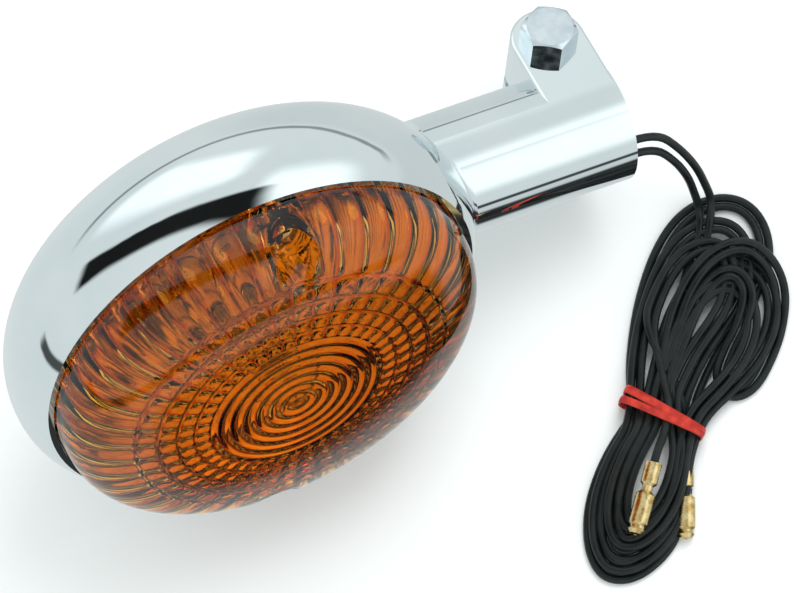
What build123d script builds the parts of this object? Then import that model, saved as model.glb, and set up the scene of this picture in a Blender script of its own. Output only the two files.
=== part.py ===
from build123d import *
import math
import os

# A motorcycle turn signal with a clamp stem, lying on a bench with its two wires tied in a hank.
# Millimetres, +Z up, bench at Z = 0. The stem points to +X, the lens looks to -Y and upwards.

# ---- attitude on the bench: the bowl's rim and the clamp's nut touch it ----
STEM_DROOP = 13.8  # degrees that the stem falls away from the lamp
LENS_LIFT = 20.2  # degrees that the lamp is rolled back about its stem
LAMP_CENTRE = (-17.81, -10.13, 50.445)  # centre of the bowl's mouth

# ---- bowl, stem and clamp lug (one chromed casting) ----
BOWL_R = 49.0
BOWL_WAIST_Z = -9.0  # height of the widest place
BOWL_FRONT = 24.2  # half axis of the ellipse in front of the waist
BOWL_DEPTH = 25.0  # from the waist to the back
BOWL_POWER = 2.3  # power of the superellipse behind the waist
WALL = 2.4
SEAT_R = 44.3  # bore that the lens drops into
LEDGE_R = 41.0  # opening of the ledge that carries reflector and gasket
LEDGE_Z = -8.0
STEM_R = 12.6
STEM_Z = -21.8
NECK_START = 31.0  # the stem grows out of the bowl between these two
NECK_END = 46.0
NECK_ROOT = (10.5, 7.5, -19.0)  # half width, half height and height of its root
STEM_END = 86.6
BLEND_R = 2.5
CLAMP_R = 9.0
DRILL_R = 1.15  # two drillings along the stem's front carry the wires past the clamped stud
DRILL_REACH = 9.85
CLAMP_LENGTH = 26.0
RIM_EDGE = 0.6
SLIT = 2.0
SLIT_LENGTH = 30.0
LUG_R = 7.6
LUG_REACH = 14.4  # from the stem's axis to the bolt's axis
BOLT_X = STEM_END - LUG_R
BOLT_Z = STEM_Z - LUG_REACH
PILLAR_R = 2.9
PILLAR_Y = 38.4
PILLAR_TOP = -2.6

# ---- lens, its seal and screws ----
LENS_R = 44.0
LENS_RISE = 17.4
LENS_POWER = 3.0
LENS_T = 2.0
LENS_SEAT_Z = -5.2
WELL_R = 5.4
WELL_BORE = 4.5
WELL_FLOOR = 1.0
GASKET_T = 2.0
SCREW_R = 1.75
SCREW_HEAD_R = 3.1
SCREW_HEAD_T = 2.2
SCREW_LENGTH = 12.0
FIT = 0.05  # radial clearance of a running fit

# ---- reflector and bulb holder ----
SHEET_T = 0.8
REFLECTOR_FLAT_Z = -19.6
SLEEVE_R = 8.6
SLEEVE_BORE = 7.58
SLEEVE_FRONT = -10.5
SLEEVE_BACK = -28.6
FLANGE_R = 13.0
RIVET_R = 0.8
RIVET_CIRCLE = 10.9
RIM_INNER = 40.2  # back edge of the reflector's dish
RIM_OUTER = 43.8
DISH_START = 13.8  # the flat round the sleeve ends and the dish begins
PUSH = 1.5  # travel of the sprung contact
SLOT_W = 4.6
SLOT_X = -1.15  # the cross slot reaches further to the side that the bulb turns to
ENTRY_W = 2.7
ENTRY_X = -2.1

# ---- terminal and sprung contact at the back of the holder ----
INSULATOR_Z = -28.0
INSULATOR_R = 7.4
INSULATOR_T = 1.0
BACK_HOLE_R = 5.5
STUD_R = 1.0
STUD_BACK = -29.4
HEAD_Z = -27.0
HEAD_R = 3.6
TAG_Z = -30.3  # solder tag behind the insulator
TAG_T = 0.9
SPRING_Z = -26.35
SPRING_R = 2.8
SPRING_WIRE_R = 0.2
CONTACT_Z = -23.1  # back of the sliding disc
CONTACT_R = 7.3
CONTACT_T = 1.0
BUTTON_R = 1.8
BUTTON_HEAD_R = 3.4
LEAF_T = 0.4  # thickness of the two contact heads

# ---- bulb ----
BULB_R = 9.0
BULB_CENTRE = 4.3
BASE_R = 7.5
BASE_FRONT = -8.0
BASE_BACK = -20.7
TIP_Z = -21.7
PIN_R = 1.0
PIN_Z = -14.5
PIN_ROOT = 7.2
PIN_REACH = 8.45
GLASS_T = 0.7
BULB_NECK_R = 6.6
GLASS_BOTTOM = -9.5
GLASS_FLOOR = -7.6
SUPPORT_X = 1.1  # the two filament supports stand this far off the axis
SUPPORT_R = 0.25
BEAD_TOP = -1.5

# ---- wires, their hank, tie and plugs ----
WIRE_R = 0.85
SIGNAL_PLACE = (3.9, -12.65)  # where the wires lie in their drillings
GROUND_PLACE = (0.35, -11.86)
HANK_T = 7.0
BAND_CENTRE = (53.2, -45.9, 0)
BAND_ALONG = (0.648, -0.762, 0)
BAND_W = 3.2
BAND_T = 0.7
BAND_SPAN = 18.6
PLUG_R = 1.95
PLUG_LENGTH = 15.0
SLEEVING_R = 1.6

# ---- clamp bolt, washer and nut (M6) ----
BOLT_R = 2.95
BOLT_HOLE_R = 3.3
HEX_FLATS = 10.0
HEAD_T = 4.0
WASHER_R = 5.6
WASHER_T = 1.2
NUT_T = 5.0
BOLT_TAIL = 1.22  # thread that stands out of the nut
HEX_TURN = 28.3

os.makedirs("parts", exist_ok=True)

# ---- planes of the lamp: x along the stem, y along the bolt, z out of the lens ----
droop = math.radians(STEM_DROOP)
lift = math.radians(LENS_LIFT)
along = Vector(math.cos(droop), 0, -math.sin(droop))
upright = Vector(math.sin(droop), 0, math.cos(droop))
facing = upright * math.sin(lift) - Vector(0, 1, 0) * math.cos(lift)
lamp = Plane(origin=LAMP_CENTRE, x_dir=along, z_dir=facing)
section = Plane(origin=LAMP_CENTRE, x_dir=along, z_dir=-lamp.y_dir)  # x = radius, y = forwards
lens_axis = Axis(lamp.origin, lamp.z_dir)
bolt_axis = Axis(lamp.from_local_coords((BOLT_X, 0, BOLT_Z)), lamp.y_dir)


def at(x, y, z):
    """A point given in the lamp's own directions."""
    return lamp.from_local_coords((x, y, z))


def face(z, x=0, y=0):
    """A plane parallel to the lens rim."""
    return Plane(origin=at(x, y, z), x_dir=lamp.x_dir, z_dir=lamp.z_dir)


def across(x, y=0, z=STEM_Z):
    """A plane square to the stem; its x runs along the bolt and its y forwards."""
    return Plane(origin=at(x, y, z), x_dir=lamp.y_dir, z_dir=lamp.x_dir)


def bolt_face(y):
    """A plane square to the clamp bolt; its x runs along the stem and its y backwards."""
    return Plane(origin=at(BOLT_X, y, BOLT_Z), x_dir=lamp.x_dir, z_dir=lamp.y_dir)


def bulge(radius, rise, power, base):
    """Points of a quarter of a superellipse, from its widest place to the axis."""
    points = []
    for step in range(10):
        turn = math.radians(10 * step)
        reach = max(math.cos(turn), 0) ** (2 / power)
        points.append((radius * reach, base + rise * math.sin(turn) ** (2 / power)))
    return points[:-1] + [(0, base + rise)]


def save(builder, name):
    """Labels a finished piece and writes it as its own file."""
    builder.part.label = name
    export_step(builder.part, "parts/" + name + ".step")


# ---- housing: bowl, stem and lug ----
with BuildPart() as hollow:
    with BuildSketch(section):
        with BuildLine():
            Polyline(
                (0, 5),
                (SEAT_R, 5),
                (SEAT_R, LEDGE_Z),
                (LEDGE_R, LEDGE_Z),
                (LEDGE_R, BOWL_WAIST_Z - 1),
                (BOWL_R - WALL, BOWL_WAIST_Z - 1),
                (BOWL_R - WALL, BOWL_WAIST_Z - 2),
            )
            inside = bulge(BOWL_R - WALL, -(BOWL_DEPTH - WALL), BOWL_POWER, BOWL_WAIST_Z)
            Spline([(BOWL_R - WALL, BOWL_WAIST_Z - 2)] + inside[2:], tangents=[(0, -1), (-1, 0)])
            Line(inside[-1], (0, 5))
        make_face()
    revolve(axis=lens_axis)
    with BuildSketch(face(-40, y=PILLAR_Y), face(-40, y=-PILLAR_Y)):
        Circle(PILLAR_R)
    extrude(amount=40 + PILLAR_TOP, mode=Mode.SUBTRACT)
    with BuildSketch(across(STEM_END - CLAMP_LENGTH)):
        Circle(CLAMP_R)
    extrude(amount=CLAMP_LENGTH + 1)

with BuildPart() as lug:
    with BuildSketch(bolt_face(-STEM_R)):
        Circle(LUG_R)
        with Locations((0, -LUG_REACH / 2)):
            Rectangle(2 * LUG_R, LUG_REACH)
    extrude(amount=2 * STEM_R)
    rims = lug.edges().group_by(bolt_axis)
    edges = [e for e in rims[0] + rims[-1] if lamp.to_local_coords(e.center()).Z < STEM_Z - 1]
    fillet(edges, RIM_EDGE)

with BuildPart() as housing:
    with BuildSketch(section):
        with BuildLine():
            back = bulge(BOWL_R, -BOWL_DEPTH, BOWL_POWER, BOWL_WAIST_Z)
            front = [(BOWL_R * math.sqrt(1 - ((z - BOWL_WAIST_Z) / BOWL_FRONT) ** 2), z) for z in (0, -3, -6)]
            Polyline(back[-1], (0, 0), front[0])
            Spline(front + back, tangents=[(0.81, -1), (-1, 0)])
        make_face()
    revolve(axis=lens_axis)
    with BuildSketch(across(NECK_START, z=NECK_ROOT[2])):
        Ellipse(NECK_ROOT[0], NECK_ROOT[1])
    with BuildSketch(across(NECK_END)):
        Circle(STEM_R)
    loft()
    with BuildSketch(across(NECK_END)):
        Circle(STEM_R)
    extrude(amount=STEM_END - NECK_END)
    junction = [e for e in housing.edges() if e.geom_type != GeomType.CIRCLE and e.length > 2]
    fillet([e for e in junction if 25 < lamp.to_local_coords(e.center()).X < 50], BLEND_R)
    add(lug.part)
    add(hollow.part, mode=Mode.SUBTRACT)
    for place in (SIGNAL_PLACE, GROUND_PLACE):
        outwards = Vector(place[0], place[1] - STEM_Z).normalized() * DRILL_REACH
        with BuildSketch(across(LEDGE_R + 1)):
            with Locations((outwards.X, outwards.Y)):
                Circle(DRILL_R)
        extrude(amount=STEM_END - LEDGE_R, mode=Mode.SUBTRACT)
    with BuildSketch(bolt_face(-STEM_R - 1)):
        Circle(BOLT_HOLE_R)
    extrude(amount=2 * STEM_R + 2, mode=Mode.SUBTRACT)
    with BuildSketch(across(STEM_END - SLIT_LENGTH)):
        with Locations((0, -STEM_R)):
            Rectangle(SLIT, 2 * STEM_R)
    extrude(amount=SLIT_LENGTH + 1, mode=Mode.SUBTRACT)
    with BuildSketch(face(PILLAR_TOP, y=PILLAR_Y), face(PILLAR_TOP, y=-PILLAR_Y)):
        Circle(SCREW_R + FIT)
    extrude(amount=-(SCREW_LENGTH - 1), mode=Mode.SUBTRACT)
save(housing, "housing")

# ---- reflector, gasket and lens ----
with BuildPart() as reflector:
    with BuildSketch(section):
        with BuildLine():
            back_z = REFLECTOR_FLAT_Z - SHEET_T
            front_z = LEDGE_Z + SHEET_T
            Polyline(
                (RIM_INNER + 0.3, front_z),
                (RIM_OUTER, front_z),
                (RIM_OUTER, LEDGE_Z),
                (RIM_INNER, LEDGE_Z),
            )
            Spline(
                (RIM_INNER, LEDGE_Z),
                (28.0, -15.4),
                (DISH_START, back_z),
                tangents=[(-0.8, -1), (-1, -0.15)],
            )
            Polyline(
                (DISH_START, back_z),
                (SLEEVE_R + 0.3, back_z),
                (SLEEVE_R + 0.3, REFLECTOR_FLAT_Z),
                (DISH_START + 0.2, REFLECTOR_FLAT_Z),
            )
            Spline(
                (DISH_START + 0.2, REFLECTOR_FLAT_Z),
                (28.3, -14.6),
                (RIM_INNER + 0.3, front_z),
                tangents=[(1, 0.15), (0.8, 1)],
            )
        make_face()
    revolve(axis=lens_axis)
    with BuildSketch(face(-30, y=PILLAR_Y), face(-30, y=-PILLAR_Y)):
        Circle(PILLAR_R + 0.7)
    extrude(amount=30, mode=Mode.SUBTRACT)
    with BuildSketch(face(-30)):
        with PolarLocations(RIVET_CIRCLE, 2):
            Circle(RIVET_R)
    extrude(amount=30, mode=Mode.SUBTRACT)
save(reflector, "reflector")

with BuildPart() as gasket:
    with BuildSketch(face(LENS_SEAT_Z - GASKET_T)):
        Circle(LENS_R + 0.1)
        Circle(LEDGE_R + 0.4, mode=Mode.SUBTRACT)
    extrude(amount=GASKET_T)
save(gasket, "lens_gasket")

with BuildPart() as dome:
    with BuildSketch(section):
        with BuildLine():
            crown = bulge(LENS_R, LENS_RISE, LENS_POWER, 0)
            Polyline(crown[-1], (0, LENS_SEAT_Z), (LENS_R, LENS_SEAT_Z), crown[0])
            Spline(crown, tangents=[(0, 1), (-1, 0)])
        make_face()
    revolve(axis=lens_axis)

with BuildPart() as wells:
    with BuildSketch(face(PILLAR_TOP + 0.1, y=PILLAR_Y), face(PILLAR_TOP + 0.1, y=-PILLAR_Y)):
        Circle(WELL_R)
    extrude(amount=LENS_RISE)
    add(dome.part, mode=Mode.INTERSECT)

with BuildPart() as lens:
    add(dome.part)
    with BuildSketch(section):
        with BuildLine():
            crown = bulge(LENS_R - LENS_T, LENS_RISE - LENS_T, LENS_POWER, 0)
            Polyline(crown[-1], (0, LENS_SEAT_Z - 1), (LENS_R - LENS_T, LENS_SEAT_Z - 1), crown[0])
            Spline(crown, tangents=[(0, 1), (-1, 0)])
        make_face()
    revolve(axis=lens_axis, mode=Mode.SUBTRACT)
    add(wells.part)
    with BuildSketch(face(WELL_FLOOR, y=PILLAR_Y), face(WELL_FLOOR, y=-PILLAR_Y)):
        Circle(WELL_BORE)
    extrude(amount=LENS_RISE + 1, mode=Mode.SUBTRACT)
    with BuildSketch(face(-10, y=PILLAR_Y), face(-10, y=-PILLAR_Y)):
        Circle(SCREW_R + 0.2)
    extrude(amount=12, mode=Mode.SUBTRACT)
save(lens, "lens")

for place, side in (("upper", 1), ("lower", -1)):
    with BuildPart() as screw:
        with BuildSketch(face(WELL_FLOOR, y=side * PILLAR_Y)):
            Circle(SCREW_HEAD_R)
        extrude(amount=SCREW_HEAD_T)
        fillet(screw.edges().group_by(Axis(lamp.origin, lamp.z_dir))[-1], 1.2)
        with BuildSketch(face(WELL_FLOOR + SCREW_HEAD_T, y=side * PILLAR_Y)):
            Rectangle(3.6, 0.7)
            Rectangle(0.7, 3.6)
        extrude(amount=-1.3, mode=Mode.SUBTRACT)
        with BuildSketch(face(WELL_FLOOR, y=side * PILLAR_Y)):
            Circle(SCREW_R)
        extrude(amount=-SCREW_LENGTH)
    save(screw, "lens_screw_" + place)

# ---- bulb holder ----
with BuildPart() as sleeve:
    with BuildSketch(face(SLEEVE_BACK)):
        Circle(SLEEVE_R)
    extrude(amount=SLEEVE_FRONT - SLEEVE_BACK)
    with BuildSketch(face(REFLECTOR_FLAT_Z - SHEET_T)):
        Circle(FLANGE_R)
    extrude(amount=-SHEET_T)
    with BuildSketch(face(SLEEVE_BACK + 0.6)):
        Circle(SLEEVE_BORE)
    extrude(amount=SLEEVE_FRONT - SLEEVE_BACK, mode=Mode.SUBTRACT)
    with BuildSketch(face(SLEEVE_BACK - 1)):
        Circle(BACK_HOLE_R)
    extrude(amount=3, mode=Mode.SUBTRACT)
    with BuildSketch(face(-30)):
        with PolarLocations(RIVET_CIRCLE, 2):
            Circle(RIVET_R)
    extrude(amount=30, mode=Mode.SUBTRACT)
    for side in (1, -1):
        with BuildSketch(Plane(origin=at(0, 0, PIN_Z), x_dir=side * along, z_dir=side * lamp.y_dir)):
            with Locations((SLOT_X, 0.8)):
                Rectangle(SLOT_W, 2 * PIN_R + PUSH + 0.2)
            with Locations((ENTRY_X, -2.5)):
                Rectangle(ENTRY_W, 5.0)
        extrude(amount=SLEEVE_R + 1, mode=Mode.SUBTRACT)
save(sleeve, "socket_sleeve")

with BuildPart() as rivets:
    with BuildSketch(face(REFLECTOR_FLAT_Z - 2 * SHEET_T)):
        with PolarLocations(RIVET_CIRCLE, 2):
            Circle(RIVET_R)
    extrude(amount=2 * SHEET_T)
    with BuildSketch(face(REFLECTOR_FLAT_Z)):
        with PolarLocations(RIVET_CIRCLE, 2):
            Circle(1.5)
    extrude(amount=0.6)
    with BuildSketch(face(REFLECTOR_FLAT_Z - 2 * SHEET_T)):
        with PolarLocations(RIVET_CIRCLE, 2):
            Circle(1.4)
    extrude(amount=-0.5)
save(rivets, "socket_rivets")

with BuildPart() as back_disc:
    with BuildSketch(face(INSULATOR_Z)):
        Circle(INSULATOR_R)
        Circle(STUD_R + FIT, mode=Mode.SUBTRACT)
    extrude(amount=INSULATOR_T)
save(back_disc, "terminal_insulator")

with BuildPart() as terminal:
    with BuildSketch(face(HEAD_Z)):
        Circle(HEAD_R)
    extrude(amount=LEAF_T)
    with BuildSketch(face(STUD_BACK)):
        Circle(STUD_R)
    extrude(amount=HEAD_Z - STUD_BACK)
    with BuildSketch(face(TAG_Z)):
        with Locations((2.2, 0)):
            RectangleRounded(6.6, 2.4, 0.8)
    extrude(amount=TAG_T)
save(terminal, "signal_terminal")

with BuildPart() as contact_spring:
    with BuildLine() as coil:
        Helix(pitch=0.87, height=2.6, radius=SPRING_R, center=at(0, 0, SPRING_Z), direction=lamp.z_dir)
    with BuildSketch(Plane(origin=coil.line @ 0, z_dir=coil.line % 0)):
        Circle(SPRING_WIRE_R)
    sweep(path=coil.line, is_frenet=True)
save(contact_spring, "contact_spring")

with BuildPart() as contact_disc:
    with BuildSketch(face(CONTACT_Z)):
        Circle(CONTACT_R)
        Circle(BUTTON_R, mode=Mode.SUBTRACT)
    extrude(amount=CONTACT_T)
save(contact_disc, "contact_disc")

with BuildPart() as contact:
    with BuildSketch(face(CONTACT_Z - LEAF_T)):
        Circle(BUTTON_HEAD_R)
    extrude(amount=LEAF_T)
    with BuildSketch(face(CONTACT_Z)):
        Circle(BUTTON_R)
    extrude(amount=TIP_Z - CONTACT_Z)
save(contact, "contact_button")

with BuildPart() as ground_tab:
    with BuildSketch(face(REFLECTOR_FLAT_Z - 2 * SHEET_T)):
        with Locations((13.2, -5.0)):
            RectangleRounded(6.4, 3.0, 0.8)
    extrude(amount=-0.7)
save(ground_tab, "ground_tab")

# ---- bulb ----
with BuildPart() as glass:
    for shrink, bottom, mode in ((0, GLASS_BOTTOM, Mode.ADD), (GLASS_T, GLASS_FLOOR, Mode.SUBTRACT)):
        ball = BULB_R - shrink
        neck = BULB_NECK_R - shrink
        meet = BULB_CENTRE - math.sqrt(ball**2 - neck**2)
        with BuildSketch(section):
            with BuildLine():
                Polyline((0, bottom), (neck, bottom), (neck, meet))
                ThreePointArc((neck, meet), (ball, BULB_CENTRE), (0, BULB_CENTRE + ball))
                Line((0, BULB_CENTRE + ball), (0, bottom))
            make_face()
        revolve(axis=lens_axis, mode=mode)
save(glass, "bulb_glass")

with BuildPart() as base:
    with BuildSketch(face(BASE_BACK)):
        Circle(BASE_R)
    extrude(amount=BASE_FRONT - BASE_BACK)
    with BuildSketch(face(BASE_BACK - 1)):
        Circle(BASE_R - 0.4)
    extrude(amount=BASE_FRONT - BASE_BACK + 2, mode=Mode.SUBTRACT)
    for side in (1, -1):
        with BuildSketch(Plane(origin=at(0, side * PIN_ROOT, PIN_Z), x_dir=along, z_dir=side * lamp.y_dir)):
            Circle(PIN_R)
        extrude(amount=PIN_REACH - PIN_ROOT)
save(base, "bulb_base")

with BuildPart() as vitrite:
    with BuildSketch(face(BASE_BACK)):
        Circle(BASE_R - 0.4)
    extrude(amount=2.0)
    fillet(vitrite.edges().group_by(lens_axis)[0], 0.5)
save(vitrite, "bulb_insulator")

with BuildPart() as tip:
    with BuildSketch(face(TIP_Z)):
        Circle(2.4)
    extrude(amount=BASE_BACK - TIP_Z)
    fillet(tip.edges().group_by(lens_axis)[0], 0.6)
save(tip, "bulb_tip")

with BuildPart() as bead:
    with BuildSketch(section):
        with BuildLine():
            Polyline(
                (0, GLASS_FLOOR),
                (4.0, GLASS_FLOOR),
                (2.2, -4.0),
                (1.6, BEAD_TOP),
                (0, BEAD_TOP),
                (0, GLASS_FLOOR),
            )
        make_face()
    revolve(axis=lens_axis)
save(bead, "bulb_bead")

with BuildPart() as supports:
    with BuildSketch(face(BEAD_TOP)):
        with Locations((SUPPORT_X, 0), (-SUPPORT_X, 0)):
            Circle(SUPPORT_R)
    extrude(amount=1.2)
    for side in (1, -1):
        foot = at(side * SUPPORT_X, 0, BEAD_TOP + 1)
        splay = at(side * 3.2, 0, 3.4) - foot
        with BuildSketch(Plane(origin=foot, x_dir=lamp.y_dir, z_dir=splay)):
            Circle(SUPPORT_R)
        extrude(amount=4.2)
save(supports, "filament_supports")

with BuildPart() as filament:
    with BuildSketch(Plane(origin=at(-3.4, 0, 3.7), x_dir=lamp.y_dir, z_dir=lamp.x_dir)):
        Circle(0.35)
    extrude(amount=6.8)
save(filament, "filament")

# ---- clamp bolt, washer and nut ----
with BuildPart() as bolt:
    with BuildSketch(bolt_face(STEM_R)):
        RegularPolygon(HEX_FLATS / 2, 6, major_radius=False, rotation=HEX_TURN)
    extrude(amount=HEAD_T)
    with BuildSketch(Plane(origin=at(BOLT_X, STEM_R, BOLT_Z), x_dir=along, z_dir=lamp.z_dir)):
        Polygon((0, -1), (7, -1), (7, HEAD_T - 1.2), (HEX_FLATS / 2 - 0.3, HEAD_T), (0, HEAD_T), align=None)
    revolve(axis=bolt_axis, mode=Mode.INTERSECT)
    with BuildSketch(bolt_face(STEM_R)):
        Circle(BOLT_R)
    extrude(amount=-(2 * STEM_R + WASHER_T + NUT_T + BOLT_TAIL))
save(bolt, "clamp_bolt")

with BuildPart() as washer:
    with BuildSketch(bolt_face(-STEM_R)):
        Circle(WASHER_R)
        Circle(BOLT_R + FIT + 0.1, mode=Mode.SUBTRACT)
    extrude(amount=-WASHER_T)
save(washer, "clamp_washer")

with BuildPart() as nut:
    with BuildSketch(bolt_face(-STEM_R - WASHER_T)):
        RegularPolygon(HEX_FLATS / 2, 6, major_radius=False, rotation=HEX_TURN)
        Circle(BOLT_R + FIT, mode=Mode.SUBTRACT)
    extrude(amount=-NUT_T)
save(nut, "clamp_nut")

# ---- wires inside the lamp and stem ----
signal_exit = at(STEM_END, *SIGNAL_PLACE)
ground_exit = at(STEM_END, *GROUND_PLACE)
inside_routes = {
    "signal_wire": [
        at(5.52, 0, -29.85),
        at(14.0, 0.6, -29.4),
        at(24.5, 1.6, -26.6),
        at(33.0, 3.0, -19.5),
        at(40.0, 3.85, -12.75),
        at(63.0, 3.9, -12.63),
        signal_exit,
    ],
    "ground_wire": [
        at(16.4, -5.0, -21.65),
        at(25.0, -4.6, -21.9),
        at(33.0, -2.2, -17.6),
        at(40.0, 0.3, -12.0),
        at(63.0, 0.36, -11.84),
        ground_exit,
    ],
}

# ---- free wires, in bench coordinates ----
free_routes = {
    "signal_lead": [
        signal_exit,
        signal_exit + along * 5.5,
        Vector(75.2, -0.6, 22.5),
        Vector(77.6, -4.0, 16.0),
        Vector(78.6, -6.9, 9.7),
        Vector(79.2, -9.2, 4.6),
    ],
    "ground_lead": [
        ground_exit,
        ground_exit + along * 5.0,
        Vector(73.7, -2.3, 20.2),
        Vector(75.5, -5.0, 14.0),
        Vector(76.1, -7.3, 7.8),
        Vector(76.4, -9.6, 3.6),
    ],
    "signal_tail": [
        Vector(51.8, -49.9, 6.0),
        Vector(49.02, -52.715, 8.97),
        Vector(47.2, -55.1, 8.97),
    ],
}


def bend_radii(route):
    """Arc radius at each inner point of a route."""
    radii = []
    for before, here, after in zip(route, route[1:], route[2:]):
        turn = (here - before).get_angle(after - here)
        shorter = min((here - before).length, (after - here).length)
        radii.append(0.45 * shorter / math.tan(math.radians(turn) / 2))
    return radii


for name, route in (inside_routes | free_routes).items():
    radii = bend_radii(route)
    print(name, "radii", [round(r, 1) for r in radii])
    with BuildPart() as wire:
        with BuildLine() as path:
            FilletPolyline(*route, radius=radii)
        with BuildSketch(Plane(origin=path.line @ 0, z_dir=path.line % 0)):
            Circle(WIRE_R)
        sweep(path=path.line)
    length = sum(edge.length for edge in path.edges())
    ratio = wire.part.volume / (math.pi * WIRE_R**2 * length)
    print(name, "length", round(length, 1), "volume over section times length", round(ratio, 4))
    save(wire, name)

# ---- hank, its band and the two bullet plugs ----
band_plane = Plane(origin=BAND_CENTRE, x_dir=BAND_ALONG, z_dir=(BAND_ALONG[1], -BAND_ALONG[0], 0))
with BuildPart() as band:
    with BuildSketch(band_plane.offset(-BAND_W / 2)):
        with Locations((0, HANK_T / 2 + 0.3)):
            RectangleRounded(BAND_SPAN, HANK_T + 0.6, 1.8)
            RectangleRounded(BAND_SPAN - 2 * BAND_T, HANK_T + 0.6 - 2 * BAND_T, 1.2, mode=Mode.SUBTRACT)
    extrude(amount=BAND_W)
save(band, "hank_band")

plug_along = Vector(-0.3825, -0.924, 0)
sleeving_start = Vector(55.3, -52.4, PLUG_R + 0.02)
sleeving_length = 4.7
with BuildPart() as hank:
    with BuildSketch():
        with BuildLine():
            Spline(
                (82.6, -7.6),
                (87.4, -12.5),
                (88.4, -21.5),
                (86.6, -30.5),
                (80.6, -40.0),
                (71.8, -48.6),
                (66.5, -47.4),
                (59.6, -50.6),
                (54.5, -55.5),
                (50.5, -63.9),
                (46.3, -71.3),
                (39.0, -74.4),
                (31.0, -73.8),
                (27.3, -67.5),
                (31.2, -57.5),
                (39.0, -48.6),
                (46.2, -41.0),
                (50.6, -32.5),
                (57.0, -21.8),
                (65.0, -12.2),
                (74.0, -7.9),
                periodic=True,
            )
        make_face()
    extrude(amount=HANK_T)
    fillet(hank.edges().group_by(Axis.Z)[-1], 2.0)
    fillet(hank.edges().group_by(Axis.Z)[0], 1.0)
    slot_middle = sleeving_start + plug_along * 14
    slot_turn = math.degrees(math.atan2(plug_along.Y, plug_along.X))
    with BuildSketch():
        with Locations(Location((slot_middle.X, slot_middle.Y, 0), slot_turn)):
            Rectangle(28, 2 * PLUG_R + 0.4)
    extrude(amount=HANK_T + 1, mode=Mode.SUBTRACT)
    add(band.part, mode=Mode.SUBTRACT)
save(hank, "wire_hank")

with BuildPart() as sleeving:
    with BuildSketch(Plane(origin=sleeving_start, z_dir=plug_along)):
        Circle(SLEEVING_R)
    extrude(amount=sleeving_length)
save(sleeving, "ground_sleeving")

tail = free_routes["signal_tail"]
plug_places = {
    "signal_plug": (tail[-1], (tail[-1] - tail[-2]).normalized()),
    "ground_plug": (sleeving_start + plug_along * sleeving_length, plug_along),
}
for name, (start, heading) in plug_places.items():
    plug_plane = Plane(origin=start, z_dir=heading)
    side_plane = Plane(origin=start, x_dir=plug_plane.x_dir, z_dir=-plug_plane.y_dir)
    with BuildPart() as plug:
        with BuildSketch(side_plane):
            with BuildLine():
                Polyline(
                    (0, PLUG_LENGTH),
                    (0, 0),
                    (1.7, 0),
                    (1.7, 4.2),
                    (1.1, 4.8),
                    (1.1, 5.8),
                    (PLUG_R, 6.6),
                    (PLUG_R, 12.6),
                    (1.5, 13.1),
                    (1.5, 13.5),
                    (1.8, 14.0),
                    (1.3, 14.7),
                    (0, PLUG_LENGTH),
                )
            make_face()
        revolve(axis=Axis(start, plug_plane.z_dir))
    save(plug, name)
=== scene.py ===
import math

import bmesh
import bpy
from mathutils import Matrix, Vector


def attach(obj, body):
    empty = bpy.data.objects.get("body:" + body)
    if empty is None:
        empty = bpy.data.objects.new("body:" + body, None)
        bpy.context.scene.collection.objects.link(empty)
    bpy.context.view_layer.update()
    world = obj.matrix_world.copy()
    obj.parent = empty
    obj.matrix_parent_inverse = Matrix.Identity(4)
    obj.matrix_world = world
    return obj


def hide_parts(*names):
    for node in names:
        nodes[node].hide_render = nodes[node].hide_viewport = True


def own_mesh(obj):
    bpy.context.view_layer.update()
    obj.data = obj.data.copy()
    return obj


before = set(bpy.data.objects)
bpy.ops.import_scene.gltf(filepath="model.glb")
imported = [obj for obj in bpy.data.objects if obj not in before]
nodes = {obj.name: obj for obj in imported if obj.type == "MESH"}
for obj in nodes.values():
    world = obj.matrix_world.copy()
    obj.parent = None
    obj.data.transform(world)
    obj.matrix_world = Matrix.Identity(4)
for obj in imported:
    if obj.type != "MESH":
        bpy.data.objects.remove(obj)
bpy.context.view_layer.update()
MM = 0.001

# ---- the lamp's own directions, as in the CAD model ----
STEM_DROOP = math.radians(13.8)
LENS_LIFT = math.radians(20.2)
LAMP_CENTRE = Vector((-17.81, -10.13, 50.445)) * MM
along = Vector((math.cos(STEM_DROOP), 0, -math.sin(STEM_DROOP)))
upright = Vector((math.sin(STEM_DROOP), 0, math.cos(STEM_DROOP)))
facing = upright * math.sin(LENS_LIFT) - Vector((0, 1, 0)) * math.cos(LENS_LIFT)
sideways = facing.cross(along)
LAMP = Matrix.Translation(LAMP_CENTRE) @ Matrix((along, sideways, facing)).transposed().to_4x4()


def at(x, y, z):
    """A point of the lamp, given in millimetres along the stem, along the bolt and out of the lens."""
    return LAMP @ (Vector((x, y, z)) * MM)


# ---- camera: nearly overhead, long lens ----
CAMERA_AZIMUTH = math.radians(-22.4)
CAMERA_ELEVATION = math.radians(78.0)
CAMERA_DISTANCE = 1.6
VIEW_WIDTH = 0.1553
VIEW_RIGHT = 0.0268  # from the lamp's centre to the middle of the view
VIEW_UP = 0.00806
right = Vector((math.cos(CAMERA_AZIMUTH), math.sin(CAMERA_AZIMUTH), 0))
ahead = Vector((-math.sin(CAMERA_AZIMUTH), math.cos(CAMERA_AZIMUTH), 0))
up = ahead * math.sin(CAMERA_ELEVATION) + Vector((0, 0, math.cos(CAMERA_ELEVATION)))
back = right.cross(up)
camera_data = bpy.data.cameras.new("camera")
camera_data.sensor_width = 36
camera_data.lens = camera_data.sensor_width * CAMERA_DISTANCE / VIEW_WIDTH
camera_data.clip_end = 20
camera = bpy.data.objects.new("camera", camera_data)
bpy.context.scene.collection.objects.link(camera)
target = LAMP_CENTRE + right * VIEW_RIGHT + up * VIEW_UP
camera_turn = Matrix((right, up, back)).transposed().to_4x4()
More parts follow.
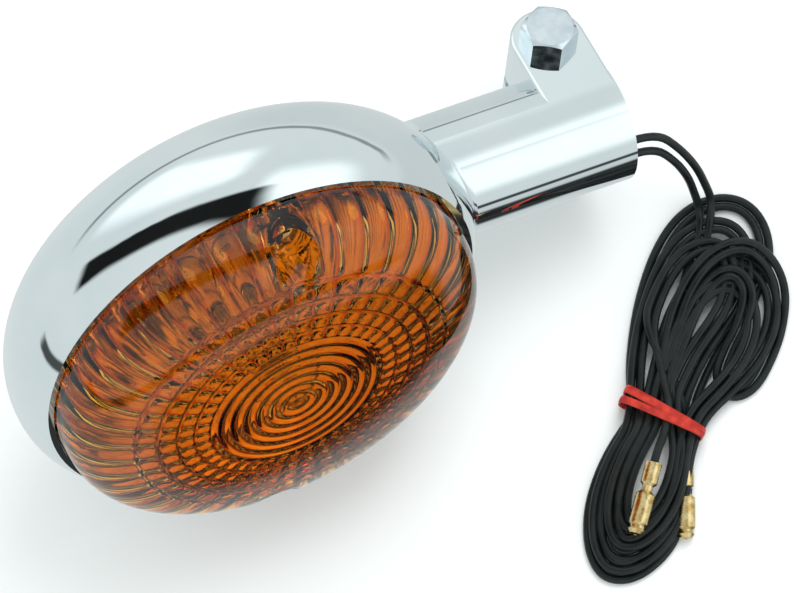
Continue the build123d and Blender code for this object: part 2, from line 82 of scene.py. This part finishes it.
camera.matrix_world = Matrix.Translation(target + back * CAMERA_DISTANCE) @ camera_turn
bpy.context.scene.camera = camera
bpy.context.scene.view_settings.view_transform = "Standard"

# ---- wires: they leave the stem one above the other and run as a pair through the hank ----
WIRE_R = 0.85
PAIR_GAP = 0.95  # half the distance between the two wires of the pair
BAND_CENTRE = Vector((53.2, -45.9, 0))
HANK_ACROSS = Vector((0.648, -0.762, 0))
HANK_UP = Vector((0.762, 0.648, 0))
LAYER = 1.75  # height of one layer of wire
LOWEST = 0.9  # just over the wire's radius, so the hank lies on the bench
LOW, MIDDLE, HIGH, TOP = (LOWEST + LAYER * n for n in range(4))
LENGTH_KEPT = 0.4  # share of a loop's length that drawing it in leaves alone

# The loops of the hank: across it and up it from the band, in millimetres.
LOWER_FOLD = (
    (-5.0, -5.0), (-5.6, -12.0), (-5.0, -19.0), (-3.3, -25.0), (0.0, -30.6), (4.2, -33.6),
    (8.6, -31.8), (11.6, -26.6), (12.7, -20.5), (11.2, -13.0), (8.0, -6.0),
)
LEFT_LOOP = (
    (3.6, 4.0), (2.8, 12.0), (3.0, 20.0), (4.8, 29.0), (4.4, 37.0), (0.8, 43.4), (-4.8, 46.4),
    (-10.6, 44.6), (-15.0, 38.6), (-16.0, 30.0), (-14.2, 19.0), (-10.8, 9.0), (-7.8, 3.0),
)
RIGHT_LOOP = (
    (-1.5, 4.0, HIGH), (-5.0, 12.0, HIGH), (-7.2, 20.0, HIGH), (-7.4, 28.0, TOP), (-5.4, 34.4, TOP),
    (-1.0, 38.4, TOP), (4.4, 38.0, HIGH), (9.4, 34.2, MIDDLE), (12.2, 27.5, LOW), (13.2, 20.5, LOW),
    (13.0, 13.6, LOW), (10.0, 10.2, LOW), (6.4, 12.0, MIDDLE), (5.6, 17.5, MIDDLE), (5.8, 24.0, HIGH),
    (4.0, 30.5, TOP), (-0.6, 32.6, TOP), (-4.0, 29.0, HIGH), (-4.4, 21.0, HIGH), (-3.2, 12.0, HIGH),
    (-3.0, 4.0, HIGH),
)
FAN_LOOP = (
    (6.4, 3.5), (9.6, 12.0), (11.6, 20.0), (10.8, 28.0), (6.6, 34.2), (0.4, 36.2), (-5.0, 33.4),
    (-7.6, 26.0), (-7.4, 17.0), (-5.4, 9.0), (-4.0, 3.5),
)


def shrunk(loop, spine, share, height):
    """A loop drawn in towards its spine, and less so in its length, all at one height."""
    shorter = LENGTH_KEPT + (1 - LENGTH_KEPT) * share
    return [(spine + share * (u - spine), w * shorter, height) for u, w in loop]


pair_line = [(-9.6, 37.5, MIDDLE), (-8.4, 29.0, MIDDLE), (-5.6, 18.0, MIDDLE), (-3.0, 7.0, MIDDLE)]
pair_line += shrunk(LOWER_FOLD, 4.0, 1.0, LOW)
pair_line += shrunk(LEFT_LOOP, -6.0, 1.0, LOW)
pair_line += shrunk(LOWER_FOLD, 4.0, 0.8, MIDDLE)
pair_line += RIGHT_LOOP
pair_line += shrunk(LOWER_FOLD, 4.0, 0.56, LOW)
pair_line += shrunk(LEFT_LOOP, -6.0, 0.8, MIDDLE)
pair_line += shrunk(LOWER_FOLD, 4.0, 0.92, MIDDLE)
pair_line += shrunk(FAN_LOOP, 2.0, 1.0, MIDDLE)
pair_line += shrunk(LOWER_FOLD, 4.0, 0.68, HIGH)
pair_line += shrunk(FAN_LOOP, 2.0, 0.72, HIGH)
pair_line += shrunk(LOWER_FOLD, 3.4, 0.5, HIGH)
pair_line += shrunk(LEFT_LOOP, -6.0, 0.62, HIGH)[:-2]


def hank_point(u, w, z):
    """A point of the hank: across it, up it from the band, and above the bench."""
    return BAND_CENTRE + HANK_ACROSS * u + HANK_UP * w + Vector((0, 0, z))


def beside(line, side):
    """The line shifted sideways by half the pair's spacing."""
    points = [hank_point(*p) for p in line]
    moved = []
    for i, here in enumerate(points):
        run = points[min(i + 1, len(points) - 1)] - points[max(i - 1, 0)]
        moved.append(here + Vector((-run.y, run.x, 0)).normalized() * side * PAIR_GAP)
    return moved


STEM_END = 86.6
signal_exit = at(STEM_END, 3.9, -12.65) / MM
ground_exit = at(STEM_END, 0.35, -11.86) / MM
ground_along = Vector((-0.3825, -0.924, 0))
sleeving_start = Vector((55.3, -52.4, 1.97))
SLEEVING_LENGTH = 4.7
routes = {
    "signal_cable": [
        signal_exit,
        signal_exit + along * 5.5,
        Vector((75.2, -0.6, 22.5)),
        Vector((77.6, -4.0, 16.0)),
        Vector((78.6, -6.9, 9.7)),
        Vector((79.2, -9.2, 4.6)),
        *beside(pair_line, 1),
        hank_point(-4.5, 8.0, HIGH),
        hank_point(0.5, 2.0, TOP),
        Vector((51.8, -49.9, 6.0)),
        Vector((49.02, -52.715, 8.97)),
        Vector((47.2, -55.1, 8.97)),
    ],
    "ground_cable": [
        ground_exit,
        ground_exit + along * 5.0,
        Vector((73.7, -2.3, 20.2)),
        Vector((75.5, -5.0, 14.0)),
        Vector((76.1, -7.3, 7.8)),
        Vector((76.4, -9.6, 3.6)),
        *beside(pair_line, -1),
        hank_point(-2.0, 8.0, HIGH),
        hank_point(3.6, 3.0, MIDDLE),
        sleeving_start,
        sleeving_start + ground_along * SLEEVING_LENGTH,
    ],
}


def smooth_curve(name, points, radius):
    """A round cord through its control points, in millimetres."""
    data = bpy.data.curves.new(name, "CURVE")
    data.dimensions = "3D"
    data.bevel_depth = radius  # each point's own radius scales it to metres
    data.bevel_resolution = 4
    data.resolution_u = 6
    data.use_fill_caps = True
    spline = data.splines.new("NURBS")
    spline.points.add(len(points) - 1)
    for control, place in zip(spline.points, points):
        control.co = (*(place * MM), 1)
        control.radius = MM
    spline.order_u = 3
    spline.use_endpoint_u = True
    obj = bpy.data.objects.new(name, data)
    bpy.context.scene.collection.objects.link(obj)
    return obj


cables = {}
for name, points in routes.items():
    cable = smooth_curve(name, points, WIRE_R)
    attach(cable, "lamp")
    cables[name] = cable
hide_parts("signal_lead", "signal_tail", "wire_hank")
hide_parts("ground_lead")


# ---- node-based materials ----
AMBER_PALE = (0.98, 0.46, 0.07)
# painted shade: the deeper amber laid on the edges of the lens's prisms
AMBER_PAINTED_SHADE = (0.70, 0.07, 0.01)
PRISM_EDGE = "prism_edge"  # on the lens: 0 in the middle of a prism and 1 at its edges, where painted shade deepens the amber
NOISE_DETAIL = 3.0
NOISE_LOW = 0.35  # nearly all of a noise lies between these
NOISE_HIGH = 0.65
METAL_GRAIN = 6  # how much finer the relief is than the colour
PLASTIC_GRAIN = 5
PLASTIC_SHINE = 0.35


def new_material(name, base, metallic=0.0, roughness=0.4, transmission=0.0, ior=1.5):
    """A Principled material, with its node tree and its shader."""
    material = bpy.data.materials.new(name)
    material.use_nodes = True
    tree = material.node_tree
    shader = tree.nodes["Principled BSDF"]
    shader.inputs["Base Color"].default_value = (*base, 1)
    shader.inputs["Metallic"].default_value = metallic
    shader.inputs["Roughness"].default_value = roughness
    shader.inputs["Transmission Weight"].default_value = transmission
    shader.inputs["IOR"].default_value = ior
    return material, tree, shader


def noise(tree, scale):
    """Noise over the object's own coordinates, in metres; scale is waves per metre."""
    place = tree.nodes.new("ShaderNodeTexCoord")
    texture = tree.nodes.new("ShaderNodeTexNoise")
    texture.inputs["Scale"].default_value = scale
    texture.inputs["Detail"].default_value = NOISE_DETAIL
    tree.links.new(place.outputs["Object"], texture.inputs["Vector"])
    return texture.outputs["Fac"]


def spread(tree, value, low, high):
    """Maps the usual part of a noise to a range."""
    node = tree.nodes.new("ShaderNodeMapRange")
    node.inputs["From Min"].default_value = NOISE_LOW
    node.inputs["From Max"].default_value = NOISE_HIGH
    node.inputs["To Min"].default_value = low
    node.inputs["To Max"].default_value = high
    tree.links.new(value, node.inputs["Value"])
    return node.outputs["Result"]


def tint(tree, shader, value, first, last, start=NOISE_LOW, end=NOISE_HIGH):
    """Colours the shader by a 0 to 1 value: first up to start, last from end."""
    ramp = tree.nodes.new("ShaderNodeValToRGB")
    ramp.color_ramp.elements[0].position = start
    ramp.color_ramp.elements[0].color = (*first, 1)
    ramp.color_ramp.elements[1].position = end
    ramp.color_ramp.elements[1].color = (*last, 1)
    tree.links.new(value, ramp.inputs["Fac"])
    tree.links.new(ramp.outputs["Color"], shader.inputs["Base Color"])


def bump(tree, shader, height, depth_mm):
    """Raises the surface by a height, at most depth_mm."""
    node = tree.nodes.new("ShaderNodeBump")
    node.inputs["Strength"].default_value = 1.0
    node.inputs["Distance"].default_value = depth_mm * MM
    tree.links.new(height, node.inputs["Height"])
    tree.links.new(node.outputs["Normal"], shader.inputs["Normal"])


def worn_metal(name, dark, light, rough_low, rough_high, scale, depth_mm):
    """A metal whose colour and gloss vary a little, with a fine relief."""
    material, tree, shader = new_material(name, light, metallic=1.0)
    cloud = noise(tree, scale)
    tint(tree, shader, cloud, dark, light)
    tree.links.new(spread(tree, cloud, rough_low, rough_high), shader.inputs["Roughness"])
    bump(tree, shader, noise(tree, scale * METAL_GRAIN), depth_mm)
    return material


def moulded(name, dark, light, rough_low, rough_high, scale, depth_mm):
    """A plastic or rubber with a mottled surface."""
    material, tree, shader = new_material(name, light)
    shader.inputs["Specular IOR Level"].default_value = PLASTIC_SHINE
    cloud = noise(tree, scale)
    tint(tree, shader, cloud, dark, light)
    tree.links.new(spread(tree, cloud, rough_low, rough_high), shader.inputs["Roughness"])
    bump(tree, shader, noise(tree, scale * PLASTIC_GRAIN), depth_mm)
    return material


def clear(name, color, roughness, ior, scale, depth_mm):
    """Clear glass or plastic with a faintly uneven surface."""
    material, tree, shader = new_material(name, color, roughness=roughness, transmission=1.0, ior=ior)
    bump(tree, shader, noise(tree, scale), depth_mm)
    return material


chrome = worn_metal("chrome_plate", (0.74, 0.81, 0.83), (0.80, 0.86, 0.87), 0.025, 0.06, 45, 0.0006)
bolt_chrome = worn_metal("bolt_plate", (0.62, 0.70, 0.76), (0.76, 0.83, 0.87), 0.06, 0.16, 300, 0.004)
screw_steel = worn_metal("screw_plate", (0.62, 0.66, 0.68), (0.82, 0.84, 0.85), 0.08, 0.2, 500, 0.004)
zinc = worn_metal("zinc_plate", (0.50, 0.52, 0.54), (0.68, 0.69, 0.70), 0.22, 0.42, 260, 0.01)
spring_steel = worn_metal("spring_wire", (0.28, 0.29, 0.31), (0.45, 0.46, 0.48), 0.25, 0.4, 900, 0.004)
reflector_sheet = worn_metal(
    "reflector_sheet", (0.84, 0.85, 0.86), (0.93, 0.94, 0.94), 0.05, 0.14, 120, 0.01
)
contact_brass = worn_metal("contact_brass", (0.60, 0.40, 0.14), (0.86, 0.64, 0.28), 0.2, 0.4, 500, 0.006)
plug_brass = worn_metal("plug_brass", (0.55, 0.36, 0.12), (0.95, 0.78, 0.42), 0.12, 0.34, 620, 0.03)
bulb_brass = worn_metal("bulb_cap", (0.62, 0.52, 0.30), (0.82, 0.72, 0.48), 0.24, 0.4, 400, 0.008)
solder = worn_metal("solder", (0.50, 0.51, 0.52), (0.72, 0.72, 0.73), 0.3, 0.5, 700, 0.02)
phenolic = moulded("phenolic_sheet", (0.16, 0.075, 0.03), (0.30, 0.15, 0.07), 0.4, 0.6, 700, 0.01)
seal_rubber = moulded("seal_rubber", (0.012, 0.012, 0.012), (0.04, 0.04, 0.04), 0.6, 0.85, 900, 0.03)
black_glass = moulded("fused_black_glass", (0.01, 0.01, 0.012), (0.035, 0.035, 0.04), 0.08, 0.2, 400, 0.01)
insulation = moulded("wire_insulation", (0.005, 0.007, 0.007), (0.011, 0.015, 0.015), 0.3, 0.46, 260, 0.01)
sleeving = moulded("sleeving", (0.006, 0.007, 0.007), (0.018, 0.02, 0.02), 0.35, 0.6, 600, 0.02)
band_rubber = moulded("band_rubber", (0.33, 0.012, 0.008), (0.62, 0.045, 0.025), 0.35, 0.6, 420, 0.05)
clear_glass = clear("bulb_glass", (0.97, 0.98, 0.98), 0.0, 1.5, 90, 0.01)
amber = clear("amber_lens", AMBER_PALE, 0.02, 1.49, 240, 0.01)
amber_tree = amber.node_tree
prism_edge = amber_tree.nodes.new("ShaderNodeAttribute")
prism_edge.attribute_name = PRISM_EDGE
# Painted shade: pale amber in the middle of each prism, deeper amber towards its edges, standing in for the
# dark edges that the prisms' refraction shows.
tint(
    amber_tree,
    amber_tree.nodes["Principled BSDF"],
    prism_edge.outputs["Fac"],
    AMBER_PALE,
    AMBER_PAINTED_SHADE,
    start=0.45,
    end=0.95,
)

node_looks = {
    "housing": chrome,
    "reflector": reflector_sheet,
    "lens_gasket": seal_rubber,
    "lens": amber,
    "lens_screw_upper": screw_steel,
    "lens_screw_lower": screw_steel,
    "socket_sleeve": zinc,
    "socket_rivets": zinc,
    "terminal_insulator": phenolic,
    "signal_terminal": contact_brass,
    "contact_spring": spring_steel,
    "contact_disc": phenolic,
    "contact_button": contact_brass,
    "ground_tab": zinc,
    "bulb_glass": clear_glass,
    "bulb_base": bulb_brass,
    "bulb_insulator": black_glass,
    "bulb_tip": solder,
    "bulb_bead": clear_glass,
    "filament_supports": spring_steel,
    "filament": spring_steel,
    "clamp_bolt": bolt_chrome,
    "clamp_washer": zinc,
    "clamp_nut": zinc,
    "signal_wire": insulation,
    "ground_wire": insulation,
    "signal_lead": insulation,
    "ground_lead": insulation,
    "signal_tail": insulation,
    "wire_hank": insulation,
    "hank_band": band_rubber,
    "ground_sleeving": sleeving,
    "signal_plug": plug_brass,
    "ground_plug": plug_brass,
}


def wear(obj, material):
    """Gives an object one material."""
    obj.data.materials.clear()
    obj.data.materials.append(material)


for name, material in node_looks.items():
    wear(nodes[name], material)
for cable in cables.values():
    wear(cable, insulation)

# ---- lens: smooth outside, optics moulded on its inside ----
LENS_R = 44.0
LENS_RISE = 17.4
LENS_POWER = 3.0
LENS_T = 2.0
LENS_SEAT_Z = -5.2
FLUTES = 42
TUBE_SIDES = 72
BAND_INNER_R = 33.0  # the long flutes end here
ROW_EDGES = (33.0, 28.6, 24.8, 21.4, 18.2)  # rings between the rows of small prisms
EYE_RINGS = 7
FLUTE_DEPTH = 0.95
PRISM_DEPTH = 0.8
RIB_DEPTH = 0.75
RIB_SHARE = 0.17  # a rib's half width, as a share of its row
EYE_DEPTH = 0.55
PILLAR_Y = 38.4
WELL_R = 5.4
WELL_BORE = 4.5
WELL_BOTTOM = -2.5
WELL_FLOOR = 1.0
WELL_MOUTH = 5.0  # the bore has a moulder's draft up to here
WELL_MOUTH_Z = 6.0
SCREW_HOLE_R = 1.95
AROUND = FLUTES * 10
OUTER_STEPS = 44
INNER_STEP = 0.3
RIM_RINGS = 7  # close rings where the inner dome leaves the rim
RIM_GAP = 0.00002  # their first spacing as a share of the rim, three times wider each time
FADE_IN = 1.5  # the flutes reach their full depth this far in from the rim
RIM_DEPTH = 0.35  # their share of it at the rim
FLUTE_LEAN = 0.7  # how far the flutes also push the upright wall inwards


def crown(radius, rim, rise):
    """Height of the superellipse dome at a radius."""
    return rise * max(1 - (radius / rim) ** LENS_POWER, 0) ** (1 / LENS_POWER)


def pillow(value):
    """1 in the middle of each unit cell and 0 at its edges."""
    cell = value - math.floor(value)
    return 1 - (2 * cell - 1) ** 2


def swell(radius, turn):
    """How far a point is from the edge of its prism or ring: 0 at the edge and 1 in the middle."""
    column = pillow(turn * FLUTES / (2 * math.pi))
    if radius > ROW_EDGES[0]:
        return column
    if radius < ROW_EDGES[-1]:
        return pillow(EYE_RINGS * radius / ROW_EDGES[-1] + 0.5)
    return column * pillow(row_share(radius)) ** 0.6


def row_share(radius):
    """How far across its row of prisms a radius lies, from 0 to 1."""
    for outer, inner in zip(ROW_EDGES, ROW_EDGES[1:]):
        if radius >= inner:
            return (radius - inner) / (outer - inner)
    return 0


def relief(radius, turn):
    """Depth of the optics below the inner dome, in millimetres."""
    if radius > ROW_EDGES[0]:
        return FLUTE_DEPTH * swell(radius, turn)
    if radius < ROW_EDGES[-1]:
        return EYE_DEPTH * swell(radius, turn)
    share = row_share(radius)
    ring = RIB_DEPTH * max(0, 1 - min(share, 1 - share) / RIB_SHARE) ** 0.5
    return max(PRISM_DEPTH * swell(radius, turn), ring)


def ring_of(bm, radius_at, height_at, edge_at=lambda turn: 0):
    """One ring of vertices round the lens axis."""
    ring = []
    for step in range(AROUND):
        turn = 2 * math.pi * step / AROUND
        radius = radius_at(turn)
        vertex = bm.verts.new(at(radius * math.cos(turn), radius * math.sin(turn), height_at(turn)))
        vertex[bm.verts.layers.float[PRISM_EDGE]] = edge_at(turn)
        ring.append(vertex)
    return ring


def join_rings(bm, outer, inner):
    """Faces between two neighbouring rings."""
    for step in range(AROUND):
        following = (step + 1) % AROUND
        bm.faces.new((outer[step], outer[following], inner[following], inner[step]))


def mesh_object(name, bm):
    """Makes a smooth object of a finished bmesh."""
    bmesh.ops.recalc_face_normals(bm, faces=bm.faces)
    data = bpy.data.meshes.new(name)
    bm.to_mesh(data)
    bm.free()
    data.polygons.foreach_set("use_smooth", [True] * len(data.polygons))
    obj = bpy.data.objects.new(name, data)
    bpy.context.scene.collection.objects.link(obj)
    return obj


def dome_angles(count):
    """Radii as shares of the rim, close together where the dome turns down."""
    return [math.sin(math.pi / 2 * (count - step) / count) for step in range(count)]


bm = bmesh.new()
bm.verts.layers.float.new(PRISM_EDGE)
shell_rings = [ring_of(bm, lambda t: LENS_R, lambda t: LENS_SEAT_Z)]
for share in dome_angles(OUTER_STEPS):
    radius = LENS_R * share
    shell_rings.append(ring_of(bm, lambda t: radius, lambda t: crown(radius, LENS_R, LENS_RISE)))
outer_tip = bm.verts.new(at(0, 0, LENS_RISE))
for outer, inner in zip(shell_rings, shell_rings[1:]):
    join_rings(bm, outer, inner)
for step in range(AROUND):
    bm.faces.new((shell_rings[-1][step], shell_rings[-1][(step + 1) % AROUND], outer_tip))
inner_rim = LENS_R - LENS_T
inner_rise = LENS_RISE - LENS_T
inner_rings = [ring_of(bm, lambda t: inner_rim, lambda t: LENS_SEAT_Z)]
steep = [inner_rim * (1 - RIM_GAP * 3**n) for n in range(RIM_RINGS)]
flat = [steep[-1] - INNER_STEP * (n + 1) for n in range(int(steep[-1] / INNER_STEP) - 1)]
for radius in steep + flat:
    height = crown(radius, inner_rim, inner_rise)
    faded = RIM_DEPTH + (1 - RIM_DEPTH) * min(1, (inner_rim - radius) / FADE_IN)
    lean = FLUTE_LEAN * (radius / inner_rim) ** 6
    inner_rings.append(
        ring_of(
            bm,
            lambda t: radius - lean * relief(radius, t),
            lambda t: height - faded * relief(radius, t),
            lambda t: 1 - swell(radius, t),
        )
    )
inner_tip = bm.verts.new(at(0, 0, inner_rise - relief(0, 0)))
for outer, inner in zip(inner_rings, inner_rings[1:]):
    join_rings(bm, outer, inner)
for step in range(AROUND):
    bm.faces.new((inner_rings[-1][step], inner_rings[-1][(step + 1) % AROUND], inner_tip))
join_rings(bm, shell_rings[0], inner_rings[0])
lens = mesh_object("amber_lens", bm)


def tube(name, y, rings):
    """A closed turned solid of rings of (radius, height); a height of None is inside the dome's wall."""
    bm = bmesh.new()
    made = []
    for radius, height in rings:
        ring = []
        for step in range(TUBE_SIDES):
            turn = 2 * math.pi * step / TUBE_SIDES
            px = radius * math.cos(turn)
            py = y + radius * math.sin(turn)
            in_wall = crown(math.hypot(px, py), LENS_R, LENS_RISE) - LENS_T / 2
            ring.append(bm.verts.new(at(px, py, in_wall if height is None else height)))
        made.append(ring)
    for lower, upper in zip(made, made[1:]):
        for step in range(TUBE_SIDES):
            following = (step + 1) % TUBE_SIDES
            bm.faces.new((lower[step], lower[following], upper[following], upper[step]))
    bm.faces.new(made[0])
    bm.faces.new(made[-1])
    return mesh_object(name, bm)


def combine(target_object, tool, operation):
    """Joins or cuts with another closed mesh and removes it."""
    modifier = target_object.modifiers.new("combine", "BOOLEAN")
    modifier.operation = operation
    modifier.object = tool
    modifier.solver = "EXACT"
    bpy.context.view_layer.objects.active = target_object
    bpy.ops.object.modifier_apply(modifier=modifier.name)
    bpy.data.objects.remove(tool)


for side in (1, -1):
    combine(lens, tube("well", side * PILLAR_Y, [(WELL_R, WELL_BOTTOM), (WELL_R, None)]), "UNION")
    bore = [
        (SCREW_HOLE_R, WELL_BOTTOM - 1),
        (SCREW_HOLE_R, WELL_FLOOR),
        (WELL_BORE, WELL_FLOOR),
        (WELL_MOUTH, WELL_MOUTH_Z),
        (WELL_MOUTH, LENS_RISE + 2),
    ]
    combine(lens, tube("bore", side * PILLAR_Y, bore), "DIFFERENCE")
wear(lens, amber)
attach(lens, "lamp")
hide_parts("lens")

# ---- contact spring: a copy of its mesh ----
spring = bpy.data.objects.new("bulb_spring", nodes["contact_spring"].data.copy())
bpy.context.scene.collection.objects.link(spring)
wear(spring, spring_steel)
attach(spring, "lamp")
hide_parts("contact_spring")
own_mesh(spring)

# ---- rubber band: two turns of a flat band pulled tight round the hank ----
BAND_ACROSS = 8.7  # half its width and half its height, to the inside
BAND_UP = 3.3
BAND_MIDDLE_Z = 3.75
BAND_SQUARE = 0.45
BAND_THICK = 0.45
BAND_STEPS = 96
BAND_CORNERS = 8
BAND_HALF = 0.55  # half the octagonal section, corner to corner, as a share of its width


def squared(value):
    """Brings a sine or cosine nearer to 1 or -1, which squares an oval off."""
    return math.copysign(abs(value) ** BAND_SQUARE, value)


def band_turn(bm, middle, lean, flat_width):
    """One closed turn of flat band; middle and lean say how it crosses the hank."""
    made = []
    for step in range(BAND_STEPS):
        turn = 2 * math.pi * step / BAND_STEPS
        out_u = squared(math.cos(turn))
        out_z = squared(math.sin(turn))
        ring = []
        for corner in range(BAND_CORNERS):
            around = 2 * math.pi * (corner + 0.5) / BAND_CORNERS
            thick = BAND_THICK * (0.5 + BAND_HALF * math.cos(around))
            w = middle + lean * out_u * BAND_ACROSS + flat_width * BAND_HALF * math.sin(around)
            u = out_u * (BAND_ACROSS + thick)
            z = BAND_MIDDLE_Z + out_z * (BAND_UP + thick)
            ring.append(bm.verts.new(hank_point(u, w, z) * MM))
        made.append(ring)
    for here, following in zip(made, made[1:] + made[:1]):
        for corner in range(BAND_CORNERS):
            beyond = (corner + 1) % BAND_CORNERS
            bm.faces.new((here[corner], here[beyond], following[beyond], following[corner]))


bm = bmesh.new()
band_turn(bm, -0.75, 0.06, 1.5)
band_turn(bm, 0.65, -0.05, 1.7)
band = mesh_object("rubber_band", bm)
wear(band, band_rubber)
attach(band, "lamp")
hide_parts("hank_band")

# ---- floor, light and surroundings ----
FLOOR_SIZE = 6.0
FLOOR_PALE = (0.925, 0.95, 0.95)
FLOOR_DIM = (0.915, 0.94, 0.94)
bm = bmesh.new()
bmesh.ops.create_grid(bm, x_segments=8, y_segments=8, size=FLOOR_SIZE / 2)
floor = mesh_object("floor", bm)
floor_look, floor_tree, floor_shader = new_material("floor_paper", FLOOR_PALE, roughness=0.75)
tint(floor_tree, floor_shader, noise(floor_tree, 3), FLOOR_DIM, FLOOR_PALE)
wear(floor, floor_look)
floor.visible_glossy = False
floor.visible_transmission = False

KEY_WIDTH = 0.5
KEY_LENGTH = 0.7
KEY_POWER = 4.5
KEY_PLACE = (0.35, 0.35, 0.9)
key_data = bpy.data.lights.new("softbox", "AREA")
key_data.shape = "RECTANGLE"
key_data.size = KEY_WIDTH
key_data.size_y = KEY_LENGTH
key_data.energy = KEY_POWER
key = bpy.data.objects.new("softbox", key_data)
bpy.context.scene.collection.objects.link(key)
key.location = KEY_PLACE
key.rotation_euler = (-Vector(key.location)).to_track_quat("-Z", "Y").to_euler()
key.visible_glossy = False

PLAIN_SKY = 0.82  # where nothing is brighter or darker
BENCH_LIGHT = 1.05  # what lights the bench
world = bpy.data.worlds.new("studio")
world.use_nodes = True
bpy.context.scene.world = world
tree = world.node_tree
tree.nodes.clear()
out = tree.nodes.new("ShaderNodeOutputWorld")
direction = tree.nodes.new("ShaderNodeTexCoord").outputs["Generated"]


def calc(operation, *values):
    """A math node on sockets or numbers."""
    node = tree.nodes.new("ShaderNodeMath")
    node.operation = operation
    for socket, value in zip(node.inputs, values):
        if isinstance(value, (int, float)):
            socket.default_value = value
        else:
            tree.links.new(value, socket)
    return node.outputs["Value"]


def component(axis):
    """How far a ray points along an axis."""
    node = tree.nodes.new("ShaderNodeVectorMath")
    node.operation = "DOT_PRODUCT"
    node.inputs[1].default_value = axis
    tree.links.new(direction, node.inputs[0])
    return node.outputs["Value"]


def ramp_up(value, start, end):
    """0 below start, 1 above end, smooth between."""
    node = tree.nodes.new("ShaderNodeMapRange")
    node.interpolation_type = "SMOOTHSTEP"
    node.inputs["From Min"].default_value = start
    node.inputs["From Max"].default_value = end
    tree.links.new(value, node.inputs["Value"])
    return node.outputs["Result"]


def product(*masks):
    """The masks multiplied together."""
    result = masks[0]
    for mask in masks[1:]:
        result = calc("MULTIPLY", result, mask)
    return result


def inverse(mask):
    """1 where the mask is 0, and the other way round."""
    return calc("SUBTRACT", 1, mask)


# What the chrome mirrors and the lens refracts: masks over the directions that a ray can leave in.
path = tree.nodes.new("ShaderNodeLightPath")
far = component(ahead)
side = component(right)
height = component((0, 0, 1))
near = calc("MULTIPLY", far, -1)
depth = calc("MULTIPLY", height, -1)
# The black crescent on the bowl.
overhead_gap = product(
    ramp_up(far, -0.36, -0.25),
    inverse(ramp_up(far, 0.05, 0.12)),
    ramp_up(height, 0.3, 0.42),
    inverse(ramp_up(side, 0.42, 0.62)),
)
# A thin grey line across the bowl.
horizon = product(inverse(ramp_up(calc("ABSOLUTE", height), 0.015, 0.05)), ramp_up(far, 0.3, 0.6))
# The dark line along the stem, and the black band below it.
table_edge = product(
    inverse(ramp_up(calc("ABSOLUTE", calc("ADD", height, 0.13)), 0.03, 0.07)),
    ramp_up(near, 0.3, 0.5),
)
dark_floor = product(
    ramp_up(near, 0.3, 0.42),
    ramp_up(side, 0.12, 0.3),
    ramp_up(depth, 0.3, 0.4),
    inverse(ramp_up(depth, 0.74, 0.86)),
)
# Less light from the bench than from above, apart from the left, and dark patches in the lens.
below = product(ramp_up(depth, 0.0, 0.15), ramp_up(side, -0.5, 0.0))
under_lens = product(
    path.outputs["Is Transmission Ray"],
    ramp_up(depth, 0.62, 0.78),
    ramp_up(side, -0.25, 0.2),
)
shade = product(
    inverse(calc("MULTIPLY", overhead_gap, 0.985)),
    inverse(calc("MULTIPLY", horizon, 0.6)),
    inverse(calc("MULTIPLY", table_edge, 0.9)),
    inverse(calc("MULTIPLY", dark_floor, 0.95)),
    inverse(calc("MULTIPLY", below, 0.12)),
    inverse(calc("MULTIPLY", under_lens, 0.9)),
)
# The white stripe along the stem and the white part of the rim.
stem_glow = product(ramp_up(side, 0.36, 0.55), inverse(ramp_up(far, 0.16, 0.52)), ramp_up(height, 0.2, 0.5))
rim_glow = product(
    ramp_up(far, 0.3, 0.6),
    inverse(ramp_up(far, 0.82, 0.93)),
    ramp_up(height, 0.12, 0.3),
    inverse(ramp_up(side, 0.0, 0.25)),
)
glow = calc("MULTIPLY", calc("MAXIMUM", stem_glow, rim_glow), 0.5)
sky = calc("MULTIPLY", shade, calc("ADD", glow, PLAIN_SKY))
mirrored = calc("MAXIMUM", path.outputs["Is Glossy Ray"], path.outputs["Is Transmission Ray"])
plain = tree.nodes.new("ShaderNodeBackground")
plain.inputs["Color"].default_value = (0.97, 1.0, 1.0, 1)
plain.inputs["Strength"].default_value = BENCH_LIGHT
seen = tree.nodes.new("ShaderNodeBackground")
seen.inputs["Color"].default_value = (0.95, 1.0, 1.0, 1)
tree.links.new(sky, seen.inputs["Strength"])
choice = tree.nodes.new("ShaderNodeMixShader")
tree.links.new(mirrored, choice.inputs["Fac"])
tree.links.new(plain.outputs["Background"], choice.inputs[1])
tree.links.new(seen.outputs["Background"], choice.inputs[2])
tree.links.new(choice.outputs["Shader"], out.inputs["Surface"])
